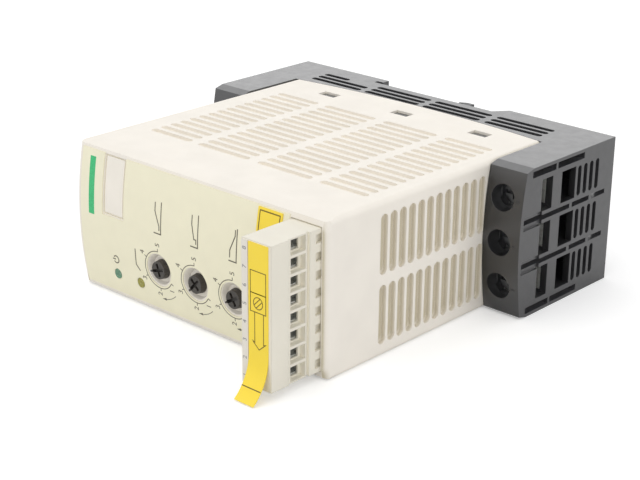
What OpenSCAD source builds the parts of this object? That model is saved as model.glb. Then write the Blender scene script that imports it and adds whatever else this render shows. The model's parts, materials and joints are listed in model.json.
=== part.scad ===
// Compact three-phase motor soft starter for rail mounting, lying on its side.
// Body frame: x runs along the housing from line end to load end, z is zero at mid width,
// and depth d is measured from the rear plane towards the front, along minus y.
// place() then puts the origin at the middle of the rail seat. All sizes are in millimetres.

/* [Rear base] */
// Overall length between the two terminal ends
body_len = 124; // [122:1:132]
// Overall width across the two flat sides
body_w = 45; // [44.5:0.5:48]
// Length of each terminal arm along the housing
arm_len = 12.65; // [12.4:0.05:14]
// Depth from the rear plane to the front edges of the arms
arm_depth = 44; // [43:0.5:46]
// How far the front of an arm bulges past its edges
arm_bow = 2.3; // [1:0.1:3]
// Thickness of the end walls and of the front walls of the arms
base_wall = 2.2; // [1.6:0.1:2.6]
// Thickness of the two side walls
side_wall = 4.4; // [4:0.1:4.8]
// Depth of the solid rear slab
slab = 7; // [6.6:0.1:7.6]
// Depth of the side strip at mid length
strip_mid = 16.2; // [15.8:0.1:18]
// How much deeper the side strip is at its ends
strip_sag = 3.5; // [2:0.1:4.5]
// Visible gap between the front cover and the rear base
seam = 0.2; // [0.1:0.05:0.4]

/* [Front cover] */
// Depth from the rear plane to the edges of the front face
cover_depth = 111; // [109:0.5:116]
// How far the front face bulges past its edges
front_bow = 2.4; // [1.6:0.1:2.8]
// Thickness of the cover walls
cover_wall = 2.4; // [2:0.1:2.6]
// Radius of the soft edges between front and sides
soft_r = 20; // [12:1:21]
// Length over which the soft edges run
soft_len = 5; // [4:0.5:8]
// Radius of the front corners at the two ends
corner_r = 2; // [1:0.25:2.5]
// Radius of the edges between the sides and the two ends
edge_r = 1.6; // [0.8:0.1:2]
// Place of the middle of the slots and controls along the housing
cover_mid = 1.5; // [0.5:0.1:1.8]
// Pitch of the ventilation slots
vent_pitch = 3.84; // [3.6:0.02:4.2]
// Width of the ventilation slots in the two sides
side_vent_w = 2.3; // [1.6:0.1:2.6]
// Width of the ventilation slots in the two ends
end_vent_w = 2.9; // [1.8:0.1:3]
// Depth of the ventilation slots in the two ends
vent_sink = 1.4; // [0.8:0.1:1.5]

/* [Rail fixing] */
// Width of the mounting rail
rail_w = 35; // [34.5:0.1:35.5]
// Place of the rail's middle along the housing
rail_mid = -10; // [-11:0.25:-9]
// Depth of the rail channel
rail_seat = 4.5; // [4.3:0.1:4.8]
// Room behind the fixed hook for the rail's edge
rail_flange = 1.6; // [1.4:0.1:1.8]
// Travel of the sprung rail clip
clip_travel = 4; // [3:0.25:4.5]

/* [Terminals] */
// Width of the chamber of one power terminal
chamber_w = 9.6; // [9:0.1:10]
// Distance of the terminal screws from the end faces
screw_in = 7; // [6.6:0.1:7.2]
// Diameter of the screwdriver holes in the arms
driver_d = 7.8; // [7.6:0.1:8]
// Diameter of the heads of the terminal screws
head_d = 6.4; // [5.6:0.1:7]
// Height of the conductor space under a clamp
wire_gap = 5; // [4.6:0.1:5.4]
// Thickness of the busbars
bar_t = 1.6; // [1.2:0.1:2]

/* [Control plug] */
// Number of ways of the control plug
ways = 8; // [4:1:8]
// Pitch of the ways
way_pitch = 5; // [4.8:0.02:5.08]
// Thickness of the plug along the housing
plug_w = 10.3; // [9.8:0.1:10.4]
// Distance of the plug's middle from the end of the cover
plug_in = 7.65; // [7.6:0.05:8.4]
// How far the plug stands out past the edges of the front face
plug_out = 18.5; // [17:0.5:25]
// Length of a wire entry along the depth
entry_h = 5.5; // [4.5:0.1:5.8]

/* [Front controls] */
// Pitch of the three setting knobs
knob_pitch = 15; // [13:0.25:16]
// Distance of the knobs below mid width
knob_drop = 8.1; // [7:0.1:9.5]
// Diameter of the setting knobs at their foot
knob_d = 5.8; // [5.4:0.1:6.4]
// How far the knobs stand out of the front
knob_rise = 0.5; // [0.3:0.1:1.2]
// Diameter of the recess around a knob at the front
recess_d = 9.4; // [9.2:0.1:10]
// Depth of the recess around a knob
recess_h = 1.6; // [1.4:0.1:2.2]
// Diameter of the knob shafts
shaft_d = 2.9; // [2.4:0.1:3.2]
// Diameter of the indicator lenses
lens_d = 3; // [2.4:0.1:3.4]
// Thickness of the front film and the stickers
film_t = 0.25; // [0.15:0.05:0.4]

/* [Boards] */
// Thickness of the circuit boards
board_t = 1.6; // [1:0.1:2]
// Distance of the control board behind the edges of the front face
control_in = 8.4; // [8:0.1:9.4]

/* [Hidden] */
$fn = 48;

half_len = body_len / 2;
half_w = body_w / 2;
gap = 0.2;
touch = 0.02;
over = 1;

// Cover outline
arm_in = half_len - arm_len;
cover_half = arm_in - seam;
bow_r = (half_w * half_w + front_bow * front_bow) / (2 * front_bow);
bow_mid = cover_depth + front_bow - bow_r;
soft_start = cover_depth - soft_len;
trim_rise = 0.6;
seam_r = (cover_half * cover_half + strip_sag * strip_sag) / (2 * strip_sag);
seam_mid = strip_mid + seam_r;
inner_half = cover_half - cover_wall;
inner_w = half_w - cover_wall;
end_wall_rear = arm_depth - 4;

// Ventilation slots of the cover
vent_margin = 20.6;
vent_stop = cover_depth - vent_margin;
side_vent_sink = 0.7 * vent_sink;
side_vent_first = 36.4;
side_rows = floor((vent_stop - side_vent_first) / vent_pitch) + 1;
end_vent_in = 3.4;
end_vent_first = arm_depth + end_vent_in;
end_rows = floor((vent_stop - end_vent_first) / vent_pitch) + 1;
vent_rib = 3.4;
mid_rib = 3.8;
vent_mid = 23.75;
side_vent_in = 6.95;
side_vent_end = cover_half - side_vent_in;
end_vent_gap = 1.5;
end_vent_edge = 3.8;
end_vent_end = half_w - end_vent_edge;

// Snap windows and the tabs in them
snap_pitch = 30;
snap_len = 6.6;
snap_h = 3.8;
snap_d = 25.8;
tongue_out = inner_w - gap;
tongue_d = 32;
inner_face = half_w - side_wall;
snap_sink = 0.7;

// Arms and pole chambers
arm_r = (half_w * half_w + arm_bow * arm_bow) / (2 * arm_bow);
arm_mid = arm_depth + arm_bow - arm_r;
poles = [-1, 0, 1];
pole_pitch = inner_face - chamber_w / 2;
inner_wall = 2.05;
chamber_x = [arm_in + inner_wall, half_len - base_wall];
chamber_front = arm_depth - base_wall;
air_top = 20;
screw_x = half_len - screw_in;
louvres = 4;
louvre_first = 8.9;
louvre_pitch = 3.05;
louvre_w = 1.8;
rib = pole_pitch - chamber_w;
barrier_w = 0.4 * rib;
barrier_sink = 7;
barrier_rows = [[4, 11], [12.3, 21], [22.3, arm_depth + 0.7]];
barrier_mouth = 1.14 * rib;
mouth_sink = 0.8;
mouth_h = 8;
edge_slot_z = half_w - 1.95;
edge_slot_w = 1.9;
edge_rows = [[16, 29.3], [30.2, 41.5]];
bar_sill = 2.9;

// Levels of a terminal, as depths
head_h = 2.2;
head_sink = 1.9;
plate_t = 1.2;
head_top = chamber_front - head_sink;
plate_top = head_top - head_h;
wire_top = plate_top - plate_t;
bar_top = wire_top - wire_gap;
bar_low = bar_top - bar_t;
shank_d = 3.8;
shank_low = bar_low - 2;
bar_w = chamber_w - 1.6;
leg_x = inner_half - 2.75;

// Slots of the side strips
strip_vent_w = 2.1;
strip_rows = [8.5, 11.7, 14.8];
strip_end = cover_half - 3.15;
strip_short = 10.5;
strip_slots = [[0.8 - vent_mid, -1], [1, vent_mid - 0.8], [vent_mid + 1.4, strip_end]];

// Rail channel and clip
rail_lo = rail_mid - rail_w / 2;
rail_hi = rail_mid + rail_w / 2;
rail_play = 0.5;
hook_grip = 2;
lip = rail_seat - rail_flange;
channel_run = 12.5;
channel_end = rail_hi + channel_run;
channel_slope = 3.6;
nose_t = 2.8;
nose_rear = 0.9;
nose_tip = 0.8;
stem_half = 8;
stem_rear = 2;
ear = 1.6;
ear_len = 3;
stem_len = 15;
stem_end = channel_end + stem_len;
spring_room = 5;
tunnel_end = stem_end + clip_travel + spring_room;
spring_t = 0.7;
spring_legs = 5;
spring_inset = 1.5;
pocket_d = 4.4;
pocket_run = 7;
pocket_rim = 3.5;
pocket_rib = 1.2;

// Control plug
control_d = cover_depth - control_in;
plug_depth = cover_depth + plug_out;
plug_x = cover_half - plug_in;
plug_half = ways * way_pitch / 2;
plug_lo = plug_x - plug_w / 2;
plug_hi = plug_x + plug_w / 2;
plug_gap = 0.3;
header_h = 4.3;
header_in = 0.6;
header_top = control_d + header_h;
plug_rear = header_top + plug_gap;
plug_len = plug_depth - plug_rear;
cell_rib = 0.7;
cell_w = way_pitch - cell_rib;
entry_w = cell_w - gap / 2;
cell = [plug_rear + 0.36 * plug_len, plug_depth - 0.24 * plug_len];
cell_in = 1.6;
cell_out = 2.8;
cell_x = [plug_lo + cell_in, plug_hi - cell_out];
entry_half = min(entry_h, plug_len / 4) / 2;
entry_off = 0.3;
entry_d = (cell[0] + cell[1]) / 2 - entry_off;
entry_sink = 2.2;
throat_in = 0.95;
face_sink = 0.45;
groove_sink = 0.9;
groove_w = 0.6;
notch_sink = 1;
notch_w = 0.5 * way_pitch;
notch_end = 2.25;
notch_len = 3.3;
band_rim = 1.1;
band_d = entry_d + entry_half + band_rim;
comb_d = entry_d - entry_half - band_rim;
cage_t = 0.6;
cage_lift = 1;
pin_t = 1;
pin_play = 0.25;
pin_top = cell[0] - 1;
plug_screw_d = 3;
plug_shank_d = 2.2;
plug_head_d = plug_depth - 1.6;
plug_head_h = 1.6;
plug_slot_w = 0.6;
plug_slot_sink = 0.7;
strip_w = 2.3;
strip_t = 0.35;
tape_in = 0.4;
tape_lo = plug_lo + strip_w + gap;
tape_edge = 1;
tape_hi = plug_hi - tape_edge;
curl_r = 15;
curl_turn = 51;
curl_start = curl_r * sin(curl_turn) - half_w + 0.25;

// Front controls
knobs = [-1, 0, 1];
knob_rest = [198, 227, 210];
shaft_play = 0.06;
knob_face = front_d(knob_drop);
recess_floor = knob_face - recess_h;
recess_low = recess_d - 1.6;
floor_t = 1.2;
trimmer_w = 9.4;
trimmer_top = recess_floor - floor_t - gap;
trimmer_low = control_d;
knob_top = knob_face + knob_rise;
knob_top_d = knob_d - 0.6;
pointer_r = knob_d / 2 + 0.55;
pointer_w = 1.9;
pointer_h = 1.6;
cross_w = 0.9;
cross_sink = 1.1;
cross_in = 0.6;
lens_in = 17.05;
lens_pitch = 10;
lens_up = 7.9;
lens_x = [lens_in - cover_half, lens_in + lens_pitch - cover_half];
lens_drop = half_w - lens_up;
led_h = 1.4;
film_in = 2.35;
film_edge = 1.7;
film_x = [film_in - cover_half, plug_lo - plug_gap - gap];
film_z = [film_edge - half_w, half_w - film_edge + gap];
marker_in = 12.25;
marker_w = 8.7;
marker_low = 3.2;
marker_x = [marker_in - cover_half, marker_in + marker_w - cover_half];
marker_z = [marker_low, half_w - film_edge];
marker_sink = 0.55;
marker_drop = 0.1;
marker_gap = 0.5;
sticker_in = 2.65;
sticker_w = 8.8;
sticker_h = 11.6;
sticker_x = [plug_lo - sticker_in - sticker_w, plug_lo - sticker_in];
sticker_z = [half_w - film_edge - gap - sticker_h, half_w - film_edge - gap];

// Boards and what stands on them
board_half = inner_half - 1;
board_w = inner_face - 0.6;
boss_d = 5.4;
boss_in = 3;
boss_z = board_w - boss_in;
control_boss_x = [boss_in + gap - board_half, plug_lo - boss_d - boss_in / 2];
post_in = 4;
post_x = leg_x - post_in;
post_z = board_w - boss_in - gap;
pilot_d = 2.1;
board_shank_d = 2;
board_head_d = 4.6;
board_screw_h = 1.4;
board_screw_l = 6;
sink_half = post_x - post_in;
sink_front = 27.5;
sink_plate = 3.5;
fins = 9;
fin_t = 1.4;
power_d = arm_depth;
module_gap = 4;
module_top = power_d - module_gap;
module_x = [0.14 * sink_half, 0.94 * sink_half];
module_half = 0.69 * board_w;
lead_x = [0.25 * sink_half, 0.83 * sink_half];
lead_z = 0.46 * board_w;
lead_d = 1.4;
power_top = power_d + board_t;
riser_x = [-0.13 * board_half, 0.48 * board_half];
riser_z = board_w - boss_in;
relay_x = [-0.79 * board_half, -0.22 * board_half];
relay_z = [-0.74 * board_w, 0.17 * board_w];
relay_h = 17;
core_x = [0.22 * board_half, 0.74 * board_half];
core_z = [-0.69 * board_w, 0.34 * board_w];
core_h = 21;
coil_x = [0.31 * board_half, 0.66 * board_half];
coil_z = [-0.91 * board_w, 0.57 * board_w];
coil_h = 25;
cap_x = [-0.64 * board_half, -0.35 * board_half];
cap_z = 0.57 * board_w;
cap_d = 10;
cap_h = 20;

function front_d(z) = bow_mid + sqrt(bow_r * bow_r - z * z);

function knob_x(k) = cover_mid + k * knob_pitch;

module place() translate([-rail_mid, rail_seat, 0]) children();

module block(x, d, z) translate([x[0], -d[1], z[0]]) cube([x[1] - x[0], d[1] - d[0], z[1] - z[0]]);

module rod(x, d, z, dia) translate([x, -d[0], z]) rotate([90, 0, 0]) cylinder(d = dia, h = d[1] - d[0]);

module cone(d, low_d, top_d)
  translate([0, -d[0], 0]) rotate([90, 0, 0]) cylinder(d1 = low_d, d2 = top_d, h = d[1] - d[0]);

module along_x(x) translate([x[0], 0, 0]) rotate([90, 0, 90]) linear_extrude(x[1] - x[0]) children();

module along_z(z) translate([0, 0, z[0]]) linear_extrude(z[1] - z[0]) children();

module along_depth(d) translate([0, -d[0], 0]) rotate([90, 0, 0]) linear_extrude(d[1] - d[0]) children();

module both_sides() {
  children();
  mirror([0, 0, 1]) children();
}

module both_ends() {
  children();
  mirror([1, 0, 0]) children();
}

module slot(len, w) {
  square([len - w, w], center = true);
  for (s = [-1, 1]) translate([s * (len - w) / 2, 0]) circle(d = w);
}

module slot_between(lo, hi, w) translate([(lo + hi) / 2, 0]) slot(hi - lo, w);

// Section of the cover across its length: y to the right, z up
module cover_section() {
  intersection() {
    translate([-bow_mid, 0]) circle(r = bow_r, $fn = 200);
    union() {
      translate([-soft_start, -half_w]) square([soft_start, body_w]);
      translate([-soft_start - soft_r, soft_r - half_w]) square([soft_r, body_w - 2 * soft_r]);
      for (s = [-1, 1]) translate([-soft_start, s * (half_w - soft_r)]) circle(r = soft_r, $fn = 120);
    }
  }
}

// Outline of the cover seen onto its side: x to the right, y up
module cover_plan() {
  reach = cover_depth + front_bow + over;
  intersection() {
    translate([0, -seam_mid]) circle(r = seam_r, $fn = 300);
    translate([-cover_half, -reach]) square([2 * cover_half, reach]);
  }
}

// Outline of the cover seen onto its front, with round edges between sides and ends
module cover_front() {
  flat_x = cover_half - edge_r;
  flat_z = half_w - edge_r;
  square([2 * flat_x, body_w], center = true);
  square([2 * cover_half, 2 * flat_z], center = true);
  for (x = [-flat_x, flat_x]) for (z = [-flat_z, flat_z]) translate([x, z]) circle(r = edge_r);
}

// Body of revolution that gives the front its bow and its round corners at the two ends
module bow_body() {
  flat = cover_half - corner_r;
  translate([0, -bow_mid, 0]) rotate([0, 90, 0]) rotate_extrude($fn = 300) {
    translate([0, -flat]) square([bow_r, 2 * flat]);
    translate([0, -cover_half]) square([bow_r - corner_r, 2 * cover_half]);
    for (s = [-1, 1]) translate([bow_r - corner_r, s * flat]) circle(r = corner_r);
  }
}

// What is cut off the bow beside the plug, where the end wall has a straight round edge
module plug_end_trim() {
  edge = corner_r - cover_depth - trim_rise;
  along_z([-half_w - over, half_w + over]) difference() {
    translate([plug_x, edge - corner_r - front_bow - over])
      square([half_len - plug_x, front_bow + over + corner_r]);
    translate([plug_x - over, edge - corner_r])
      square([cover_half - corner_r - plug_x + over, corner_r + over]);
    translate([cover_half - corner_r, edge]) circle(r = corner_r);
  }
}

module cover_shell() {
  difference() {
    intersection() {
      along_x([-cover_half, cover_half]) cover_section();
      along_z([-half_w, half_w]) cover_plan();
      along_depth([0, cover_depth + front_bow]) cover_front();
      bow_body();
    }
    plug_end_trim();
    intersection() {
      block([-inner_half, inner_half], [0, cover_depth + over], [-inner_w, inner_w]);
      along_x([-inner_half, inner_half]) translate([-bow_mid, 0]) circle(r = bow_r - cover_wall, $fn = 200);
    }
    both_ends() block([inner_half - over, half_len], [0, end_wall_rear], [-inner_w, inner_w]);
  }
}

module side_vents() {
  for (row = [0 : side_rows - 1])
    translate([cover_mid, -side_vent_first - row * vent_pitch])
      for (s = [0, 1]) mirror([s, 0]) {
        slot_between(mid_rib / 2, vent_mid - vent_rib / 2, side_vent_w);
        slot_between(vent_mid + vent_rib / 2, side_vent_end, side_vent_w);
      }
}

module end_vents() {
  for (row = [0 : end_rows - 1])
    for (s = [-1, 1])
      translate([-end_vent_first - row * vent_pitch, s * (end_vent_gap + end_vent_end) / 2])
        rotate(90) slot(end_vent_end - end_vent_gap, end_vent_w);
}

module knob_places() for (k = knobs) translate([knob_x(k), 0, -knob_drop]) children();

module control_boss_places()
  for (x = control_boss_x) for (s = [-1, 1]) translate([x, 0, s * boss_z]) children();

module snap_places() for (k = [-1 : 1]) translate([cover_mid + k * snap_pitch, 0, 0]) children();

module snap_block(less, z) {
  half = snap_len / 2 - less;
  deep = snap_h / 2 - less;
  block([-half, half], [snap_d - deep, snap_d + deep], z);
}

module front_cover() {
  flare = (recess_d - recess_low) * over / recess_h;
  color("#ece6d7") place() difference() {
    union() {
      cover_shell();
      intersection() {
        union() {
          knob_places() rod(0, [recess_floor - floor_t, cover_depth + front_bow], 0, recess_d + 3);
          control_boss_places() rod(0, [control_d, cover_depth + front_bow], 0, boss_d);
        }
        along_x([-inner_half, inner_half]) cover_section();
      }
    }
    both_sides() along_z([half_w - side_vent_sink, half_w + over]) side_vents();
    both_ends() along_x([cover_half - vent_sink, cover_half + over]) end_vents();
    snap_places() snap_block(0, [-half_w - over, half_w + over]);
    knob_places() {
      cone([recess_floor, knob_face + over], recess_low, recess_d + flare);
      rod(0, [recess_floor - floor_t - over, recess_floor + over], 0, shaft_d + 0.6);
    }
    control_boss_places() rod(0, [control_d - over, control_d + board_screw_l], 0, pilot_d);
    for (x = lens_x) rod(x, [control_d, cover_depth + front_bow + over], -lens_drop, lens_d + 2 * touch);
    bow_sheet(marker_x, marker_z, bow_r - marker_sink, bow_r + over);
    block([plug_lo - plug_gap, plug_hi + plug_gap], [control_d, cover_depth + front_bow + over],
      [-plug_half - plug_gap, plug_half + plug_gap]);
  }
}

// Outline of the rear base seen onto its side
module base_plan() {
  reach = arm_depth + arm_bow + over;
  difference() {
    translate([-half_len, -reach]) square([body_len, reach]);
    intersection() {
      translate([-arm_in, -reach - over]) square([2 * arm_in, reach + over]);
      translate([0, -seam_mid]) circle(r = seam_r + seam, $fn = 300);
    }
  }
}

// Section of an arm across the housing, with its bowed front and eased front edges
module arm_section() {
  ease_d = 3;
  ease_z = 1.2;
  reach = arm_depth + arm_bow;
  intersection() {
    translate([-arm_mid, 0]) circle(r = arm_r, $fn = 200);
    polygon([[0, half_w], [ease_d - arm_depth, half_w], [-reach - over, half_w - ease_z - 0.5],
      [-reach - over, ease_z + 0.5 - half_w], [ease_d - arm_depth, -half_w], [0, -half_w]]);
  }
}

module pole_places() for (p = poles) translate([0, 0, p * pole_pitch]) children();

module rib_places() for (s = [-1, 1]) translate([0, 0, s * pole_pitch / 2]) children();

// What is cut from one arm for its three terminals
module arm_cuts() {
  half_c = chamber_w / 2;
  half_b = bar_w / 2 + gap;
  inside = [arm_in - over, chamber_x[0] + over];
  outside = [half_len - base_wall - over, half_len + over];
  barrier = [half_len - barrier_sink, half_len + over];
  pole_places() {
    block(chamber_x, [slab, chamber_front], [-half_c, half_c]);
    block(inside, [slab, air_top], [-half_c, half_c]);
    block(inside, [bar_low, bar_top + gap / 2], [-half_b, half_b]);
    block(outside, [bar_top, wire_top + gap], [-half_c, half_c]);
    block(outside, [air_top, bar_low - bar_sill], [-half_c, half_c]);
    rod(screw_x, [chamber_front - over, arm_depth + arm_bow + over], 0, driver_d);
    for (k = [0 : louvres - 1])
      along_x(outside) translate([-louvre_first - k * louvre_pitch, 0])
        rotate(90) slot(chamber_w - 2 * gap, louvre_w);
  }
  rib_places() {
    for (d = barrier_rows) block(barrier, d, [-barrier_w / 2, barrier_w / 2]);
    block([half_len - mouth_sink, half_len + over], [arm_depth - mouth_h, barrier_rows[2][1]],
      [-barrier_mouth / 2, barrier_mouth / 2]);
  }
  both_sides() for (d = edge_rows)
    block(barrier, d, [edge_slot_z - edge_slot_w / 2, edge_slot_z + edge_slot_w / 2]);
}

module strip_vents() {
  for (row = [0 : 2]) translate([0, -strip_rows[row]]) {
    slot_between(-strip_end, row == 0 ? strip_short - strip_end : -vent_mid - 1.2, strip_vent_w);
    for (x = strip_slots) slot_between(x[0], x[1], strip_vent_w);
  }
}

// Channel for the rail, with the undercut of the fixed hook at its low end
module rail_channel() {
  hook_x = rail_lo + hook_grip;
  polygon([[hook_x, over], [hook_x, -lip], [rail_lo - rail_play, -lip], [rail_lo - rail_play, -rail_seat],
    [channel_end, -rail_seat], [channel_end + channel_slope * (1 + over / rail_seat), over]]);
}

module clip_tunnel() {
  block([channel_end - over, tunnel_end], [stem_rear - gap, rail_seat], [-stem_half - gap, stem_half + gap]);
  block([stem_end - ear_len - gap, tunnel_end], [stem_rear - gap, rail_seat],
    [-stem_half - ear - gap, stem_half + ear + gap]);
}

module rear_pockets() {
  hook_root = rail_lo - 4;
  both_sides() {
    block([pocket_rim - half_len, hook_root], [-over, pocket_d], [pocket_rib, inner_face]);
    block([tunnel_end + pocket_rim, half_len - pocket_rim], [-over, pocket_d], [pocket_rib, inner_face]);
    block([channel_end + pocket_run, tunnel_end], [-over, pocket_d], [stem_half + ear + nose_t, inner_face]);
  }
}

module rear_base() {
  color("#5f6062") place() difference() {
    union() {
      difference() {
        intersection() {
          along_z([-half_w, half_w]) base_plan();
          along_x([-half_len, half_len]) arm_section();
        }
        block([-arm_in, arm_in], [slab, arm_depth + arm_bow + over], [-inner_face, inner_face]);
      }
      both_sides() {
        block([-inner_half + over, inner_half - over], [slab, tongue_d], [inner_face, tongue_out]);
        snap_places() snap_block(gap, [inner_face, half_w - snap_sink]);
      }
      both_ends() both_sides() rod(post_x, [slab - over, power_d], post_z, boss_d);
    }
    both_ends() arm_cuts();
    both_sides() along_z([inner_face - over, half_w + over]) strip_vents();
    along_z([-half_w - over, half_w + over]) rail_channel();
    clip_tunnel();
    rear_pockets();
    both_ends() both_sides() rod(post_x, [power_d - board_screw_l, power_d + over], post_z, pilot_d);
  }
}

// Sheet between two radii of the bow of the front face
module bow_sheet(x, z, low, high) {
  intersection() {
    along_x(x) difference() {
      translate([-bow_mid, 0]) circle(r = high, $fn = 200);
      translate([-bow_mid, 0]) circle(r = low, $fn = 200);
    }
    block(x, [soft_start, cover_depth + front_bow + 2 * over], z);
  }
}

module front_film() {
  film_play = 0.3;
  low = bow_r + touch;
  color("#e8e5cd") place() difference() {
    bow_sheet(film_x, film_z, low, low + film_t);
    along_depth([soft_start, cover_depth + front_bow + 2 * over]) {
      for (k = knobs) translate([knob_x(k), -knob_drop]) circle(d = recess_d + 2 * film_play);
      for (x = lens_x) translate([x, -lens_drop]) circle(d = lens_d + film_play / 2);
      translate([marker_x[0] - film_play, marker_z[0] - film_play])
        square([marker_x[1] - marker_x[0] + 2 * film_play, body_w]);
    }
  }
}

// Blank plate for the user's own mark, clipped into a recess of the cover
module marker_tag() {
  x = [marker_x[0] + marker_gap, marker_x[1] - marker_gap];
  z = [marker_z[0] + marker_gap, marker_z[1] - marker_gap];
  color("#efebdd") place() bow_sheet(x, z, bow_r - marker_sink + touch, bow_r - marker_drop);
}

module yellow_sticker() {
  low = bow_r + film_t + 2 * touch;
  color("#f7d841") place() bow_sheet(sticker_x, sticker_z, low, low + film_t);
}

module knob(k) {
  low = recess_floor + gap;
  half_p = pointer_w / 2;
  arm = knob_top_d / 2 - cross_in;
  half_c = cross_w / 2;
  cut = [knob_top - cross_sink, knob_top + over];
  color("#46413c") place() translate([knob_x(k), 0, -knob_drop])
  rotate([0, -knob_rest[k + 1], 0]) difference() {
    union() {
      cone([low, knob_top], knob_d, knob_top_d);
      along_depth([knob_top - pointer_h, knob_top])
        polygon([[0, -half_p], [pointer_r, -gap], [pointer_r, gap], [0, half_p]]);
      rod(0, [control_d + 2 * gap, low + gap], 0, shaft_d);
    }
    block([-arm, knob_top_d / 2], cut, [-half_c, half_c]);
    block([-half_c, half_c], cut, [-arm, arm]);
  }
}

module start_ramp_knob() knob(-1);

module start_voltage_knob() knob(0);

module stop_ramp_knob() knob(1);

module trimmer(k) {
  half_t = trimmer_w / 2;
  color("#3d5f8c") place() translate([knob_x(k), 0, -knob_drop]) difference() {
    union() {
      block([-half_t, half_t], [trimmer_low, trimmer_top - 1], [-half_t, half_t]);
      rod(0, [trimmer_low, trimmer_top], 0, trimmer_w - 1.6);
    }
    rod(0, [trimmer_low + gap, trimmer_top + over], 0, shaft_d + 2 * shaft_play);
  }
}

module start_ramp_trimmer() trimmer(-1);

module start_voltage_trimmer() trimmer(0);

module stop_ramp_trimmer() trimmer(1);

module lens(x) {
  face = front_d(lens_drop);
  place() rod(x, [control_d + led_h, face + touch + film_t], -lens_drop, lens_d);
}

module power_lens() color("#699678") lens(lens_x[0]);

module run_lens() color("#a5a03c") lens(lens_x[1]);

module led(x) {
  place() translate([x, 0, -lens_drop]) {
    block([-1.6, 1.6], [control_d, control_d + led_h - 0.5], [-1.4, 1.4]);
    rod(0, [control_d + led_h - 0.5, control_d + led_h], 0, 2.4);
  }
}

module power_led() color("#f2f0e6") led(lens_x[0]);

module run_led() color("#f2f0e6") led(lens_x[1]);

module board(d, half, w, holes_x, hole_z) {
  difference() {
    block([-half, half], [d, d + board_t], [-w, w]);
    for (x = holes_x) both_sides() rod(x, [d - over, d + board_t + over], hole_z, board_shank_d + 0.3);
  }
}

module control_board()
  color("#2f6b3f") place() board(control_d - board_t, board_half, board_w, control_boss_x, boss_z);

module power_board() color("#2f6b3f") place() board(power_d, board_half, board_w, [-post_x, post_x], post_z);

// Card between the two boards
module riser_board()
  color("#2f6b3f") place() block(riser_x, [power_top, control_d - board_t], [riser_z - board_t, riser_z]);

module board_screw(d, dir) {
  head = [d, d + dir * board_screw_h];
  slot_low = d + dir * board_screw_h / 2;
  slot_top = head[1] + dir * over;
  tip = d - dir * (board_screw_l + board_t - 0.6);
  difference() {
    union() {
      rod(0, [min(head), max(head)], 0, board_head_d);
      rod(0, [min(d, tip), max(d, tip)], 0, board_shank_d);
    }
    block([-board_head_d, board_head_d], [min(slot_low, slot_top), max(slot_low, slot_top)],
      [-cross_w / 2, cross_w / 2]);
  }
}

module board_screws() color("#b8bcc0") place() {
  control_boss_places() board_screw(control_d - board_t, -1);
  both_ends() both_sides() translate([post_x, 0, post_z]) board_screw(power_top, 1);
}

module way_places() for (k = [0 : ways - 1]) translate([0, 0, (k + 0.5) * way_pitch - plug_half]) children();

module pin_block(d, half) block([plug_x - half, plug_x + half], d, [-half, half]);

module control_header() {
  color("#3f6f4a") place() difference() {
    block([plug_lo + header_in, plug_hi - header_in], [control_d, header_top],
      [gap - plug_half, plug_half - gap]);
    way_places() pin_block([control_d - over, header_top + over], pin_t / 2 + touch);
  }
}

module header_pins() color("#d9c27a") place() way_places() pin_block([control_d, pin_top], pin_t / 2);

// Wire entry with a wide mouth and a smaller opening behind it
module wire_entry() {
  mouth_w = entry_w / 2;
  throat = entry_half - throat_in;
  throat_w = mouth_w - 2 * gap;
  block([cell_x[1] - over, plug_hi], [entry_d - throat, entry_d + throat], [-throat_w, throat_w]);
  block([plug_hi - entry_sink, plug_hi + over], [entry_d - entry_half, entry_d + entry_half],
    [-mouth_w, mouth_w]);
}

module plug_housing() {
  notch = [comb_d - notch_end - notch_len, comb_d - notch_end];
  far = plug_half + over;
  color("#e9e3d3") place() difference() {
    block([plug_lo, plug_hi], [plug_rear, plug_depth], [-plug_half, plug_half]);
    way_places() {
      block(cell_x, cell, [-cell_w / 2, cell_w / 2]);
      wire_entry();
      rod(plug_x, [cell[1] - over, plug_depth + over], 0, plug_screw_d + 2 * gap);
      pin_block([plug_rear - over, cell[0] + over], pin_t / 2 + pin_play);
      block([plug_hi - notch_sink, plug_hi + over], notch, [-notch_w / 2, notch_w / 2]);
    }
    block([plug_hi - groove_sink, plug_hi + over], [comb_d, comb_d + groove_w], [-far, far]);
    block([plug_hi - face_sink, plug_hi + over], [comb_d, band_d], [-far, far]);
  }
}

// Rising cages that grip the wires
module plug_clamps() {
  half_c = cell_w / 2 - gap;
  top = cell[1] - cage_lift;
  color("#c9ccd0") place() way_places() difference() {
    block([cell_x[0] + gap, cell_x[1] - gap], [cell[0] + touch, top], [-half_c, half_c]);
    block([cell_x[0] - over, cell_x[1] + over], [cell[0] + 2 * cage_t, top - 2 * cage_t],
      [cage_t - half_c, half_c - cage_t]);
    rod(plug_x, [top - 3 * cage_t, cell[1] + over], 0, plug_shank_d + gap / 2);
  }
}

module plug_screws() {
  color("#b8bcc0") place() way_places() difference() {
    union() {
      rod(plug_x, [plug_head_d - plug_head_h, plug_head_d], 0, plug_screw_d);
      rod(plug_x, [cell[1] - cage_lift - 3 * cage_t, plug_head_d - plug_head_h], 0, plug_shank_d);
    }
    block([plug_lo, plug_hi], [plug_head_d - plug_slot_sink, plug_head_d + over],
      [-plug_slot_w / 2, plug_slot_w / 2]);
  }
}

module plug_marker_strip() color("#f2efe6") place()
  block([plug_lo + gap, plug_lo + strip_w], [plug_depth, plug_depth + strip_t],
    [tape_in - plug_half, plug_half - tape_in]);

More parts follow.
